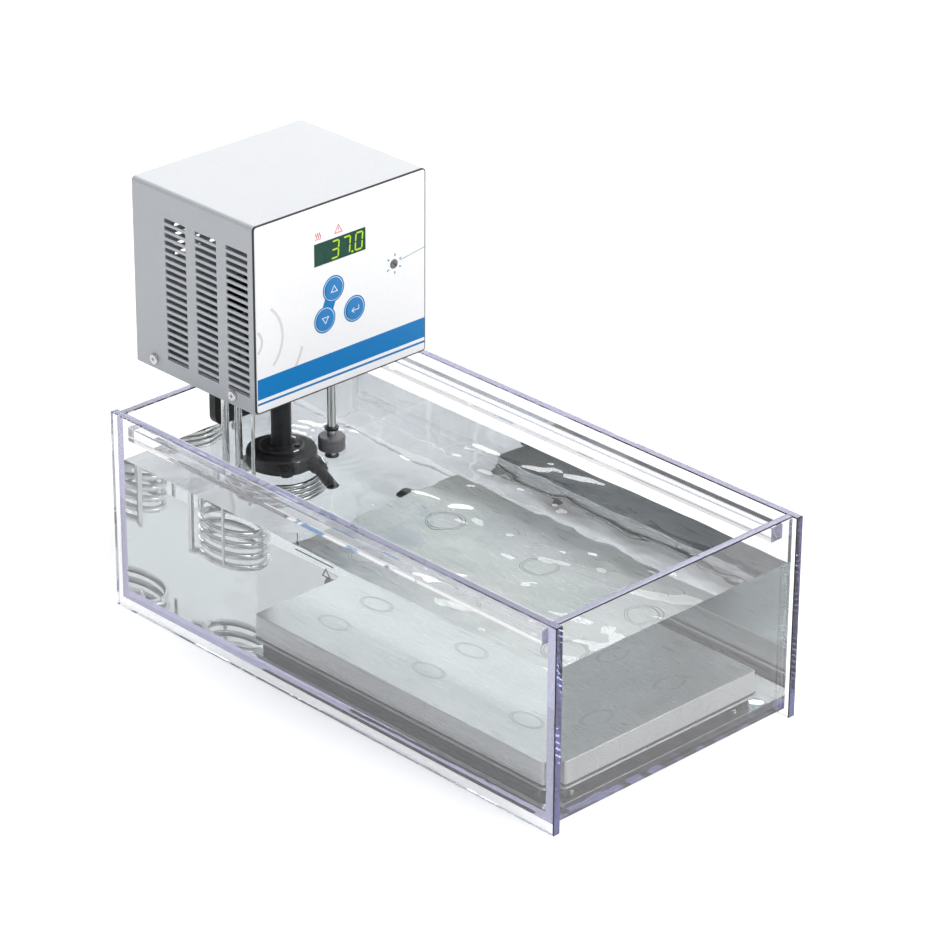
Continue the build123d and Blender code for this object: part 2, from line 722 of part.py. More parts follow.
with BuildPart() as pump_housing:
    post(axis_x, axis_y, housing_bottom, flange_bottom, housing_radius)
    fillet(pump_housing.faces().sort_by(Axis.Z)[-1].edges(), 3.0)
    outlet_rod(0, outlet_stub_reach, outlet_offset, outlet_z, outlet_stub_radius)
    outlet_rod(20, 35, valve_offset, valve_z, 5.5)
    for angle in (100, 200, 340):
        x, y = around_pump(housing_radius - 1.5, angle)
        post(x, y, housing_bottom, housing_bottom + 14, 4.0)
    post(axis_x, axis_y, housing_bottom - 1, flange_bottom - housing_wall, housing_radius - housing_wall,
         Mode.SUBTRACT)
    post(axis_x, axis_y, housing_bottom, flange_bottom + 1, shaft_radius + 0.4, Mode.SUBTRACT)
    outlet_rod(4, outlet_stub_reach + 1, outlet_offset, outlet_z, 5.0, Mode.SUBTRACT)
    outlet_rod(22, 36, valve_offset, valve_z, 2.1, Mode.SUBTRACT)
pump_housing.part.label = "pump_housing"

with BuildPart() as intake_grille:
    post(axis_x, axis_y, housing_bottom - grille_thickness, housing_bottom, housing_radius)
    with BuildSketch(Plane.XY.offset(housing_bottom - grille_thickness)):
        for radius, count in ((9, 6), (17, 11), (25, 16)):
            with Locations((axis_x, axis_y)):
                with PolarLocations(radius, count):
                    Circle(2.3)
    extrude(amount=grille_thickness, mode=Mode.SUBTRACT)
intake_grille.part.label = "intake_grille"

with BuildPart() as outlet_nozzle:
    outlet_rod(28, outlet_stub_reach, outlet_offset, outlet_z, 5.0)
    outlet_rod(outlet_stub_reach, outlet_stub_reach + 5, outlet_offset, outlet_z, 8.0)
    outlet_rod(outlet_stub_reach + 5, nozzle_reach, outlet_offset, outlet_z, nozzle_radius)
    outlet_rod(27, nozzle_reach + 1, outlet_offset, outlet_z, nozzle_bore, Mode.SUBTRACT)
outlet_nozzle.part.label = "outlet_nozzle"

with BuildPart() as valve_knob:
    outlet_rod(28, 36.5, valve_offset, valve_z, 2.0)
    outlet_rod(35.5, 44.5, valve_offset, valve_z, valve_knob_radius)
    knob_x, knob_y = outlet_point(40.5, valve_offset)
    with Locations(level(knob_x, knob_y, valve_z, outlet_angle)):
        with PolarLocations(valve_knob_radius + 0.3, 12):
            Cylinder(0.8, 8.0, mode=Mode.SUBTRACT)
valve_knob.part.label = "valve_knob"

# ---------------------------------------------------------------- heater, probes and float switch
leg_top = base_top + 10.0
coil_height = coil_turns * coil_pitch
leg_rise = leg_top - coil_bottom
leg_gap = return_leg_radius - coil_radius
joint_radius = tube_radius + 0.3

# The heater is one bent tube: a short leg down to the top of the winding, the winding itself, a
# level run outward below it and a long leg back up. It is drawn about its own axis, then placed.
winding = Helix(coil_pitch, coil_height, coil_radius)
winding_ring = Plane(origin=winding @ 0, z_dir=winding % 0) * Circle(tube_radius)
heater_tube = sweep(winding_ring, path=winding)
heater_tube += Pos(coil_radius, 0, coil_height) * Sphere(joint_radius)
short_leg = leg_rise - coil_height
heater_tube += Pos(coil_radius, 0, coil_height + short_leg / 2) * Cylinder(tube_radius, short_leg)
heater_tube += Pos(coil_radius, 0, 0) * Sphere(joint_radius)
heater_tube += Pos(coil_radius + leg_gap / 2, 0, 0) * Rotation(0, 90, 0) * Cylinder(tube_radius, leg_gap)
heater_tube += Pos(return_leg_radius, 0, 0) * Sphere(joint_radius)
heater_tube += Pos(return_leg_radius, 0, leg_rise / 2) * Cylinder(tube_radius, leg_rise)

with BuildPart() as heater_coil:
    add(Location((axis_x, axis_y, coil_bottom), (0, 0, leg_angle)) * heater_tube)
heater_coil.part.label = "heater_coil"

with BuildPart() as temperature_probe:
    post(*probe_at, probe_bottom, leg_top, probe_radius)
    fillet(temperature_probe.faces().sort_by(Axis.Z)[0].edges(), probe_radius - 0.1)
temperature_probe.part.label = "temperature_probe"

with BuildPart() as safety_probe:
    post(*safety_at, safety_bottom, leg_top, safety_radius)
    fillet(safety_probe.faces().sort_by(Axis.Z)[0].edges(), safety_radius - 0.1)
safety_probe.part.label = "safety_probe"

with BuildPart() as float_stem:
    post(*stem_at, stem_bottom, leg_top, stem_radius)
    fillet(float_stem.faces().sort_by(Axis.Z)[0].edges(), 1.5)
    with BuildSketch(Plane.XY.offset(case_bottom - 5)):
        with Locations(stem_at):
            RegularPolygon(8, 6)
    extrude(amount=5)
float_stem.part.label = "float_stem"

with BuildPart() as float_ring:
    post(*stem_at, float_bottom, float_bottom + float_height, float_radius)
    fillet(float_ring.faces().filter_by(Axis.Z).edges(), 1.6)
    post(*stem_at, float_bottom - 1, float_bottom + float_height + 1, stem_radius + running_gap,
         Mode.SUBTRACT)
float_ring.part.label = "float_ring"

clip_top = float_bottom - float_fall - fit_gap
clip_low = float_bottom + float_height + float_rise + fit_gap
with BuildPart() as float_clips:
    for z in (clip_top - 2.2, clip_low):
        post(*stem_at, z, z + 2.2, 6.4)
    post(*stem_at, stem_bottom, clip_low + 5, stem_radius, Mode.SUBTRACT)
float_clips.part.label = "float_clips"

# ---------------------------------------------------------------- clamp on the end wall
wall_out_x = tank_x - end_outer
wall_in_x = tank_x - end_inner
arm_out_x = wall_out_x - arm_reach
arm_in_x = arm_out_x + clamp_jaw
jaw_out_x = wall_in_x + fit_gap
jaw_in_x = jaw_out_x + clamp_jaw
half_clamp = clamp_width / 2

with BuildPart() as clamp_bracket:
    block(arm_out_x, jaw_in_x + 6, -half_clamp, half_clamp, tank_height, case_bottom)
    fillet(clamp_bracket.edges().filter_by(Axis.Z), 4.0)
    block(jaw_out_x, jaw_in_x, -half_clamp + 2, half_clamp - 2, clamp_jaw_bottom, tank_height)
    fillet(clamp_bracket.faces().sort_by(Axis.Z)[0].edges().filter_by(Axis.X), 10.0)
    block(arm_out_x, arm_in_x, -clamp_arm_width / 2, clamp_arm_width / 2, clamp_arm_bottom, tank_height)
    for side in (-1, 1):
        for y in (12, 36):
            block(jaw_in_x + 2, jaw_in_x + 7, side * y - 8, side * y + 8, tank_height + 4, case_bottom - 4,
                  Mode.SUBTRACT)
    spindle(arm_out_x - 1, arm_in_x + 1, 0, clamp_screw_z, clamp_screw_radius + running_gap, Mode.SUBTRACT)
    for side in (-1, 1):
        post(clamp_bolt_x, side * clamp_bolt_y, case_bottom - 16, case_bottom + 1, 2.55, Mode.SUBTRACT)
clamp_bracket.part.label = "clamp_bracket"

with BuildPart() as clamp_bolts:
    for side in (-1, 1):
        post(clamp_bolt_x, side * clamp_bolt_y, case_bottom - 15, base_top, 2.5)
        post(clamp_bolt_x, side * clamp_bolt_y, base_top, base_top + 4, 4.3)
        with BuildSketch(Plane.XY.offset(base_top + 4)):
            with Locations((clamp_bolt_x, side * clamp_bolt_y)):
                RegularPolygon(2.3, 6)
        extrude(amount=-2.4, mode=Mode.SUBTRACT)
clamp_bolts.part.label = "clamp_bolts"

pad_in_x = wall_out_x - 0.2
pad_out_x = pad_in_x - clamp_pad_thickness
with BuildPart() as clamp_pad:
    spindle(pad_out_x, pad_in_x, 0, clamp_screw_z, clamp_pad_radius)
    chamfer(clamp_pad.faces().filter_by(Axis.X).edges(), 0.6)
    spindle(pad_out_x - 1, pad_out_x + 2.7, 0, clamp_screw_z, clamp_screw_radius + running_gap, Mode.SUBTRACT)
clamp_pad.part.label = "clamp_pad"

knob_in_x = arm_out_x - 3.0
knob_out_x = knob_in_x - clamp_knob_depth
with BuildPart() as clamp_screw:
    spindle(knob_in_x - 6, pad_out_x + 2.2, 0, clamp_screw_z, clamp_screw_radius)
    chamfer(clamp_screw.faces().sort_by(Axis.X)[-1].edges(), 0.8)
clamp_screw.part.label = "clamp_screw"

with BuildPart() as clamp_knob:
    spindle(knob_out_x, knob_in_x - 4, 0, clamp_screw_z, clamp_knob_radius)
    fillet(clamp_knob.edges(), 2.0)
    spindle(knob_in_x - 7, knob_in_x, 0, clamp_screw_z, 8.0)
    with Locations(Location(((knob_in_x + knob_out_x) / 2 - 3, 0, clamp_screw_z), (0, 90, 0))):
        with PolarLocations(clamp_knob_radius + 2.5, 6):
            Cylinder(5.0, clamp_knob_depth + 4, mode=Mode.SUBTRACT)
    spindle(knob_in_x - 6, knob_in_x + 1, 0, clamp_screw_z, clamp_screw_radius, Mode.SUBTRACT)
clamp_knob.part.label = "clamp_knob"

# ---------------------------------------------------------------- export
built = [
    tank_front_wall, tank_rear_wall, tank_left_wall, tank_right_wall, tank_floor.part,
    ledge_front, ledge_rear,
    stirrer_feet.part, stirrer_base.part, stirrer_seal.part, stirrer_cover.part,
    stirrer_screws.part, stirrer_board.part, stirrer_coils.part, stirrer_gland.part,
    head_cover.part, head_base.part, rear_panel.part, front_panel.part, panel_gasket.part,
    cover_screws, rear_screws.part,
    display_window.part, display_module.part, control_board.part, board_posts.part,
    key_switches.part, key_up, key_down, key_enter, limit_pot.part, limit_dial.part,
    power_inlet.part, inlet_pins.part, switch_frame.part, switch_rocker.part,
    power_board.part, transformer.part, board_stands.part,
    pump_motor.part, motor_posts.part, cooling_fan.part, pump_shaft.part, impeller.part,
    pump_column.part, pump_housing.part, intake_grille.part, outlet_nozzle.part, valve_knob.part,
    heater_coil.part, temperature_probe.part, safety_probe.part,
    float_stem.part, float_ring.part, float_clips.part,
    clamp_bracket.part, clamp_bolts.part, clamp_pad.part, clamp_screw.part, clamp_knob.part,
]
for piece in built:
    export_step(piece, f"parts/{piece.label}.step")
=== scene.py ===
"""Water bath: materials, water, panel print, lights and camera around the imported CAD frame."""

from math import cos, exp, hypot, pi, radians, sin

import bmesh
import bpy
from mathutils import Matrix, Vector, noise


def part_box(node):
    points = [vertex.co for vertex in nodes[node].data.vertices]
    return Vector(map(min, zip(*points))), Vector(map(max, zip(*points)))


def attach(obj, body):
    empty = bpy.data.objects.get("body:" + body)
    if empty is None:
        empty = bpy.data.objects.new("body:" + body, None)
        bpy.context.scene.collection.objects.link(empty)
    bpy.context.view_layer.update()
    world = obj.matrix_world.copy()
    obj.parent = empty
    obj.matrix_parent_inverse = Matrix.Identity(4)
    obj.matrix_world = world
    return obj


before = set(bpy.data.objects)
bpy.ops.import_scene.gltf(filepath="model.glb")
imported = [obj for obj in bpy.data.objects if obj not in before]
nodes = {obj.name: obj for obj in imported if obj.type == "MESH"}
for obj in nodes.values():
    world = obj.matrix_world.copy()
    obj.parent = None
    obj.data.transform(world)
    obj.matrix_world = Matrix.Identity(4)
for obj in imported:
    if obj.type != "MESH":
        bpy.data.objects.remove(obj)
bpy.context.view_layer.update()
mm = 0.001

# ------------------------------------------------------------------ sizes of the print and the water
film_low, film_high = 0.00001, 0.00006
panel_margin = 0.6 * mm
band_from, band_to = 12.4 * mm, 31.6 * mm
line_from, line_to = 7.2 * mm, 9.2 * mm
field_in, field_out = 11.1 * mm, 12.4 * mm
key_ring_radius, key_ring_width = 10.75 * mm, 0.62 * mm
neck_half_angle = 32
symbol_stroke = 0.75 * mm
arc_y, arc_rise, arc_width = -105.0 * mm, 66.0 * mm, 2.6 * mm
panel_arc_spans = ((12.5, -52, 52), (36.0, -46, 50), (61.0, -34, -17))
dial_tick_turns = (24, 82, 142, 212, 276, 330)
dial_tick_radii, dial_tick_width = (7.2, 9.6), 1.4 * mm
leader_width = 0.6 * mm
icon_rise, icon_stroke = 7.6 * mm, 0.8 * mm
heat_inset, heat_stroke, heat_base_stroke, alarm_shift = 4.6 * mm, 0.95 * mm, 0.7 * mm, 1.7 * mm
digit_width, digit_height, digit_gap, stroke = 7.8 * mm, 15.6 * mm, 5.4 * mm, 1.55 * mm
digit_inset, dot_width, dot_radius, digit_lean = 4.6 * mm, 1.2 * mm, 1.1 * mm, 0.08
water_level = 148.0 * mm
print_drop, level_stroke, mark_stroke = 1.0 * mm, 1.2 * mm, 1.1 * mm
place_pitch_x, place_pitch_y = 118 * mm, 88 * mm
place_radii, place_stroke = (15.0, 17.4), 0.7 * mm
water_gap = 0.05 * mm
floor_drop = 0.1 * mm


# ------------------------------------------------------------------ material helpers
def blank(name):
    """An empty node material: its tree and its output."""
    mat = bpy.data.materials.new(name)
    mat.use_nodes = True
    mat.node_tree.nodes.clear()
    return mat, mat.node_tree, mat.node_tree.nodes.new("ShaderNodeOutputMaterial")


def node(tree, kind, inputs=(), **props):
    """A node with its properties set and its inputs filled by value or by link."""
    made = tree.nodes.new("ShaderNode" + kind)
    for key, value in props.items():
        setattr(made, key, value)
    for key, value in dict(inputs).items():
        socket = made.inputs[key]
        if isinstance(value, bpy.types.NodeSocket):
            tree.links.new(value, socket)
        else:
            socket.default_value = value
    return made


def rgb(color):
    return (*color, 1.0)


def coordinates(tree, stretch=(1, 1, 1)):
    """Row-frame coordinates in metres, stretched along the axes."""
    place = node(tree, "TexCoord").outputs["Object"]
    return node(tree, "Mapping", {"Vector": place, "Scale": stretch}).outputs[0]


def cloud(tree, vector, scale, detail=4.0, rough=0.55):
    """Fractal noise of that many features per metre, 0 to 1."""
    inputs = {"Vector": vector, "Scale": scale, "Detail": detail, "Roughness": rough}
    return node(tree, "TexNoise", inputs).outputs["Fac"]


def spread(tree, value, low, high, start=0.3, end=0.7):
    """value mapped from start..end to low..high."""
    inputs = {"Value": value, "From Min": start, "From Max": end, "To Min": low, "To Max": high}
    return node(tree, "MapRange", inputs).outputs[0]


def blend_colors(tree, factor, a, b):
    made = node(tree, "Mix", {0: factor}, data_type="RGBA")
    for index, value in ((6, a), (7, b)):
        if isinstance(value, bpy.types.NodeSocket):
            tree.links.new(value, made.inputs[index])
        else:
            made.inputs[index].default_value = rgb(value)
    return made.outputs[2]


def surface(name, low, high, grain, rough, relief, metallic=0.0, stretch=(1, 1, 1), sockets=(),
            dust=None):
    """An opaque finish. low and high are the colours that the grain mixes, rough the roughness
    range, relief the (features per metre, height in metres) of the fine surface texture, and
    dust an optional (colour, amount) that gathers in large soft patches."""
    mat, tree, out = blank(name)
    place = coordinates(tree, stretch)
    grains = cloud(tree, place, grain)
    color = blend_colors(tree, spread(tree, grains, 0, 1), low, high)
    if dust:
        patches = cloud(tree, coordinates(tree), 14.0, 5.0, 0.65)
        color = blend_colors(tree, spread(tree, patches, 0, dust[1], 0.45, 0.75), color, dust[0])
    fine = cloud(tree, place, relief[0], 3.0)
    bump = node(tree, "Bump", {"Height": fine, "Distance": relief[1], "Strength": 1.0})
    shader = node(tree, "BsdfPrincipled", {
        "Base Color": color, "Metallic": metallic,
        "Roughness": spread(tree, grains, rough[0], rough[1]), "Normal": bump.outputs[0],
        **dict(sockets)})
    tree.links.new(shader.outputs[0], out.inputs["Surface"])
    return mat


def clear(name, ior, absorb, density, rough, relief, tint=(1.0, 1.0, 1.0)):
    """A clear solid: smooth refraction with faint scuffs, colour that deepens with thickness, and
    lamps that shine through it."""
    mat, tree, out = blank(name)
    place = coordinates(tree)
    scuffs = cloud(tree, coordinates(tree, (1.0, 7.0, 7.0)), 60.0, 6.0, 0.6)
    bump = node(tree, "Bump", {"Height": cloud(tree, place, relief[0], 2.0), "Distance": relief[1]})
    glass = node(tree, "BsdfPrincipled", {
        "Base Color": rgb(tint), "Transmission Weight": 1.0, "IOR": ior,
        "Roughness": spread(tree, scuffs, rough[0], rough[1], 0.5, 0.8),
        "Normal": bump.outputs[0]})
    through = node(tree, "BsdfTransparent", {"Color": rgb(tint)})
    lamp = node(tree, "LightPath").outputs["Is Shadow Ray"]
    mix = node(tree, "MixShader", {0: lamp, 1: glass.outputs[0], 2: through.outputs[0]})
    tree.links.new(mix.outputs[0], out.inputs["Surface"])
    depth = node(tree, "VolumeAbsorption", {"Color": rgb(absorb), "Density": density})
    tree.links.new(depth.outputs[0], out.inputs["Volume"])
    return mat


def ink(name, color, rough=0.4, glow=0.0):
    """Screen-printed ink: a slightly uneven film with a fine mesh texture."""
    mat, tree, out = blank(name)
    place = coordinates(tree)
    grains = cloud(tree, place, 900.0)
    deep = tuple(c * 0.86 for c in color)
    mixed = blend_colors(tree, spread(tree, grains, 0, 1), deep, color)
    bump = node(tree, "Bump", {"Height": cloud(tree, place, 2600.0, 2.0), "Distance": 0.00001})
    shader = node(tree, "BsdfPrincipled", {
        "Base Color": mixed, "Roughness": spread(tree, grains, rough - 0.06, rough + 0.06),
        "Normal": bump.outputs[0], "Specular IOR Level": 0.25, "Emission Color": mixed,
        "Emission Strength": glow})
    tree.links.new(shader.outputs[0], out.inputs["Surface"])
    return mat


# ------------------------------------------------------------------ finishes by material slot
finishes = {
    "clear_acrylic": clear("acrylic", 1.49, (0.43, 0.43, 0.64), 5.2, (0.0, 0.02),
                           (35.0, 0.00002)),
    "black_rubber": surface("rubber", (0.018, 0.018, 0.02), (0.035, 0.036, 0.04), 260.0,
                            (0.55, 0.8), (1800.0, 0.00008)),
    "brushed_stainless": surface("brushed_steel", (0.40, 0.405, 0.40), (0.53, 0.535, 0.53), 900.0,
                                 (0.24, 0.40), (2200.0, 0.000012), 1.0, (0.03, 1, 1),
                                 dust=((0.35, 0.37, 0.37), 0.5)),
    "steel_screws": surface("zinc_screws", (0.52, 0.52, 0.54), (0.70, 0.70, 0.72), 700.0,
                            (0.18, 0.34), (1500.0, 0.00002), 1.0),
    "green_circuit_board": surface("solder_mask", (0.02, 0.13, 0.05), (0.03, 0.19, 0.08), 320.0,
                                   (0.3, 0.45), (900.0, 0.00004)),
    "copper_winding": surface("enamelled_copper", (0.48, 0.20, 0.08), (0.66, 0.31, 0.13), 500.0,
                              (0.25, 0.4), (1400.0, 0.00015), 1.0, (1, 1, 4)),
    "black_plastic": surface("black_moulding", (0.012, 0.012, 0.013), (0.028, 0.028, 0.03), 180.0,
                             (0.32, 0.5), (1600.0, 0.00005)),
    "grey_powder_coat": surface("powder_coat", (0.555, 0.575, 0.60), (0.60, 0.62, 0.645), 420.0,
                                (0.38, 0.5), (1300.0, 0.00005), 0.0, (1, 1, 1),
                                {"Coat Weight": 0.15, "Coat Roughness": 0.3},
                                ((0.54, 0.56, 0.585), 0.35)),
    "white_panel": surface("panel_overlay", (0.90, 0.90, 0.915), (0.93, 0.93, 0.945), 300.0,
                           (0.32, 0.42), (1700.0, 0.000025)),
    "green_window": surface("green_filter", (0.006, 0.055, 0.036), (0.010, 0.075, 0.050), 160.0,
                            (0.06, 0.12), (90.0, 0.00001), sockets={"Specular IOR Level": 0.2}),
    "plated_steel": surface("plated_steel", (0.56, 0.56, 0.57), (0.72, 0.72, 0.73), 500.0,
                            (0.16, 0.3), (1600.0, 0.000015), 1.0),
    "blue_key": surface("blue_key", (0.0, 0.18, 0.48), (0.0, 0.21, 0.55), 500.0, (0.3, 0.42),
                        (1500.0, 0.00003)),
    "grey_plastic": surface("grey_moulding", (0.12, 0.12, 0.13), (0.18, 0.18, 0.19), 240.0,
                            (0.35, 0.5), (1500.0, 0.00005)),
    "dark_iron": surface("varnished_iron", (0.05, 0.05, 0.055), (0.10, 0.10, 0.11), 300.0,
                         (0.35, 0.55), (900.0, 0.0001), 0.6),
    "polished_tube": surface("polished_steel", (0.60, 0.59, 0.58), (0.74, 0.74, 0.75), 60.0,
                             (0.07, 0.16), (700.0, 0.000012), 1.0, (1, 1, 0.2)),
}

for obj in nodes.values():
    for holder in obj.material_slots:
        holder.material = finishes[holder.material.name.split(".")[0]]


# ------------------------------------------------------------------ thin printed shapes
def panel_point(front):
    return lambda u, v, h: Vector((front + h, u, v))


def flat_point(top):
    return lambda u, v, h: Vector((u, v, top + h))


def wall_point(face):
    """Places a film just under a near wall's outer face, so that it stays inside the wall."""
    return lambda u, v, h: Vector((u, face + h, v))


def arc(cu, cv, radius, start, end, steps):
    """Points from start to end degrees round (cu, cv)."""
    turns = [radians(start + (end - start) * i / steps) for i in range(steps + 1)]
    return [(cu + radius * cos(t), cv + radius * sin(t)) for t in turns]


def film(shape, top, bottom, sides):
    """Closes a film's mesh between its upper and lower loops of corners."""
    for a, b in sides:
        shape.faces.new((top[a], top[b], bottom[b], bottom[a]))


def patch(shape, points, at, low, high):
    """A filled outline as a thin closed plate."""
    count = len(points)
    top = [shape.verts.new(at(u, v, high)) for u, v in points]
    bottom = [shape.verts.new(at(u, v, low)) for u, v in points]
    shape.faces.new(top)
    shape.faces.new(bottom[::-1])
    film(shape, top, bottom, [(i, (i + 1) % count) for i in range(count)])


def ribbon(shape, points, width, at, low, high, closed=False):
    """A stroke of that width along points, as a thin closed plate."""
    count = len(points)
    left, right = [], []
    for i, (u, v) in enumerate(points):
        before = points[i - 1] if closed or i > 0 else points[i]
        after = points[(i + 1) % count] if closed or i < count - 1 else points[i]
        into = Vector((u - before[0], v - before[1]))
        out = Vector((after[0] - u, after[1] - v))
        into = into.normalized() if into.length else out.normalized()
        out = out.normalized() if out.length else into
        along = (into + out).normalized()
        reach = 0.5 * width / max(0.35, along.dot(into))
        left.append((u - along.y * reach, v + along.x * reach))
        right.append((u + along.y * reach, v - along.x * reach))
    rows = [[shape.verts.new(at(*p, h)) for p in side]
            for side in (left, right) for h in (high, low)]
    left_top, left_low, right_top, right_low = rows
    last = count if closed else count - 1
    for i in range(last):
        j = (i + 1) % count
        shape.faces.new((left_top[i], left_top[j], right_top[j], right_top[i]))
        shape.faces.new((left_low[i], right_low[i], right_low[j], left_low[j]))
        shape.faces.new((left_top[i], left_low[i], left_low[j], left_top[j]))
        shape.faces.new((right_top[i], right_top[j], right_low[j], right_low[i]))
    if not closed:
        for i in (0, count - 1):
            shape.faces.new((left_top[i], right_top[i], right_low[i], left_low[i]))


def piece(name, shape, mat, body):
    """The finished mesh as a named piece that rides on a CAD body."""
    bmesh.ops.recalc_face_normals(shape, faces=shape.faces)
    mesh = bpy.data.meshes.new(name)
    shape.to_mesh(mesh)
    shape.free()
    mesh.materials.append(mat)
    obj = bpy.data.objects.new(name, mesh)
    bpy.context.scene.collection.objects.link(obj)
    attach(obj, body)
    return obj


blue_ink = ink("blue_print", (0.0, 0.205, 0.55))
pale_ink = ink("pale_print", (0.74, 0.745, 0.75))
white_ink = ink("white_print", (0.80, 0.90, 0.96))
red_ink = ink("red_print", (0.80, 0.16, 0.15))
teal_ink = ink("teal_print", (0.05, 0.34, 0.38))
grey_ink = ink("grey_print", (0.045, 0.045, 0.055))
mark_ink = ink("etched_mark", (0.15, 0.16, 0.16), 0.6)
digit_ink = ink("lit_segment", (0.40, 0.62, 0.015), 0.3, 0.35)

panel_low, panel_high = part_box("front_panel")
front = panel_high[0]
half_panel = panel_high[1] - panel_margin
panel_base = panel_low[2]
on_panel = panel_point(front)


def middle(name):
    low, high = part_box(name)
    return tuple((low[i] + high[i]) / 2 for i in range(3))


def rectangle(u0, v0, u1, v1):
    return [(u0, v0), (u1, v0), (u1, v1), (u0, v1)]


# Coloured band and line across the foot of the panel
band = bmesh.new()
band_low = panel_base + band_from
band_high = panel_base + band_to
patch(band, rectangle(-half_panel, band_low, half_panel, band_high), on_panel, film_low, film_high)
line_low = panel_base + line_from
line_high = panel_base + line_to
patch(band, rectangle(-half_panel, line_low, half_panel, line_high), on_panel, film_low, film_high)
piece("panel_band", band, blue_ink, "thermostat")

# Blue fields round the keys, with a neck that joins the up and down keys
up = middle("key_up")
down = middle("key_down")
enter = middle("key_enter")
fields = bmesh.new()
rings = bmesh.new()
for place in (up, down, enter):
    ring = arc(place[1], place[2], (field_in + field_out) / 2, 0, 360, 72)[:-1]
    ribbon(fields, ring, field_out - field_in, on_panel, film_low, film_high, True)
    ring = arc(place[1], place[2], key_ring_radius, 0, 360, 72)[:-1]
    ribbon(rings, ring, key_ring_width, on_panel, film_low, film_high, True)
reach = Vector((down[1] - up[1], down[2] - up[2]))
toward = reach.angle_signed(Vector((1, 0))) * 180 / pi
neck = arc(up[1], up[2], field_out, toward - neck_half_angle, toward + neck_half_angle, 12)
neck += arc(down[1], down[2], field_out, toward + 180 - neck_half_angle,
            toward + 180 + neck_half_angle, 12)
patch(fields, neck, on_panel, film_low, film_high)
piece("key_fields", fields, blue_ink, "thermostat")
piece("key_rings", rings, white_ink, "thermostat")


def key_symbol(name, cad, body, strokes):
    """Printed strokes on a key's cap."""
    low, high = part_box(cad)
    shape = bmesh.new()
    cap = panel_point(high[0])
    _, cy, cz = middle(cad)
    for points, closed in strokes:
        moved = [(cy + u * mm, cz + v * mm) for u, v in points]
        ribbon(shape, moved, symbol_stroke, cap, film_low, film_high, closed)
    piece(name, shape, white_ink, body)


triangle = [(-3.6, -2.4), (3.6, -2.4), (0.0, 3.2)]
key_symbol("symbol_up", "key_up", "up_key", [(triangle, True)])
key_symbol("symbol_down", "key_down", "down_key", [([(u, -v) for u, v in triangle[::-1]], True)])
key_symbol("symbol_enter", "key_enter", "enter_key", [
    ([(4.2, 2.8), (4.2, -0.8), (-3.4, -0.8)], False),
    ([(-1.2, 1.4), (-4.0, -0.8), (-1.2, -3.0)], False)])

# Pale decorative arcs at the left
arcs = bmesh.new()
arc_z = panel_base + arc_rise
for radius, start, end in panel_arc_spans:
    curve = arc(arc_y, arc_z, radius * mm, start, end, 24)
    ribbon(arcs, curve, arc_width, on_panel, film_low, film_high)
piece("panel_arcs", arcs, pale_ink, "thermostat")

# Scale round the slotted dial, and its leader line
dial = middle("limit_dial")
scale = bmesh.new()
for turn in dial_tick_turns:
    ends = [arc(dial[1], dial[2], r * mm, turn, turn, 1)[0] for r in dial_tick_radii]
    ribbon(scale, ends, dial_tick_width, on_panel, film_low, film_high)
leader = [(dial[1] + 7.0 * mm, dial[2] + 1.6 * mm), (half_panel, dial[2] + 5.6 * mm)]
ribbon(scale, leader, leader_width, on_panel, film_low, film_high)
piece("dial_scale", scale, teal_ink, "thermostat")

# Indicator symbols over the window: heating and alarm
window_low, window_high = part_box("display_window")
icon_z = window_high[2] + icon_rise
heat_y = window_low[1] + heat_inset
alarm_y = (window_low[1] + window_high[1]) / 2 - alarm_shift
icons = bmesh.new()
for i in (-1, 0, 1):
    wave = [(heat_y + (2.2 * i + 0.75 * sin(t * pi / 4)) * mm, icon_z + (t * 0.62 - 2.5) * mm)
            for t in range(9)]
    ribbon(icons, wave, heat_stroke, on_panel, film_low, film_high)
ribbon(icons, [(heat_y - 3.4 * mm, icon_z - 3.6 * mm), (heat_y + 3.4 * mm, icon_z - 3.6 * mm)],
       heat_base_stroke, on_panel, film_low, film_high)
alarm = [(alarm_y - 4.2 * mm, icon_z - 3.6 * mm), (alarm_y + 4.2 * mm, icon_z - 3.6 * mm),
         (alarm_y, icon_z + 3.9 * mm)]
ribbon(icons, alarm, icon_stroke, on_panel, film_low, film_high, True)
for above, below in ((1.2, -1.2), (-1.9, -2.7)):
    ribbon(icons, [(alarm_y, icon_z + above * mm), (alarm_y, icon_z + below * mm)], icon_stroke,
           on_panel, film_low, film_high)
piece("panel_symbols", icons, red_ink, "thermostat")

# Seven-segment digits on the window
lit = {"3": "abgcd", "7": "abc", "0": "abcdef"}
digits = bmesh.new()
on_window = panel_point(window_high[0])
digit_base = (window_low[2] + window_high[2] - digit_height) / 2


def bar(u0, v0, u1, v1, lean):
    """One segment with pointed ends, leaning with the digits."""
    along = Vector((u1 - u0, v1 - v0)).normalized()
    side = Vector((-along.y, along.x)) * stroke / 2
    a, b = Vector((u0, v0)) + along * 0.25 * mm, Vector((u1, v1)) - along * 0.25 * mm
    tip = along * stroke / 2
    outline = [a, a + tip - side, b - tip - side, b, b - tip + side, a + tip + side]
    leaned = [(p.x + (p.y - digit_base) * lean, p.y) for p in outline]
    patch(digits, leaned, on_window, film_low, film_high)


def digit(glyph, left):
    w, h, z = digit_width, digit_height, digit_base
    ends = {"a": (0, h, w, h), "b": (w, h / 2, w, h), "c": (w, 0, w, h / 2), "d": (0, 0, w, 0),
            "e": (0, 0, 0, h / 2), "f": (0, h / 2, 0, h), "g": (0, h / 2, w, h / 2)}
    for segment in lit[glyph]:
        u0, v0, u1, v1 = ends[segment]
        bar(left + u0, z + v0, left + u1, z + v1, digit_lean)


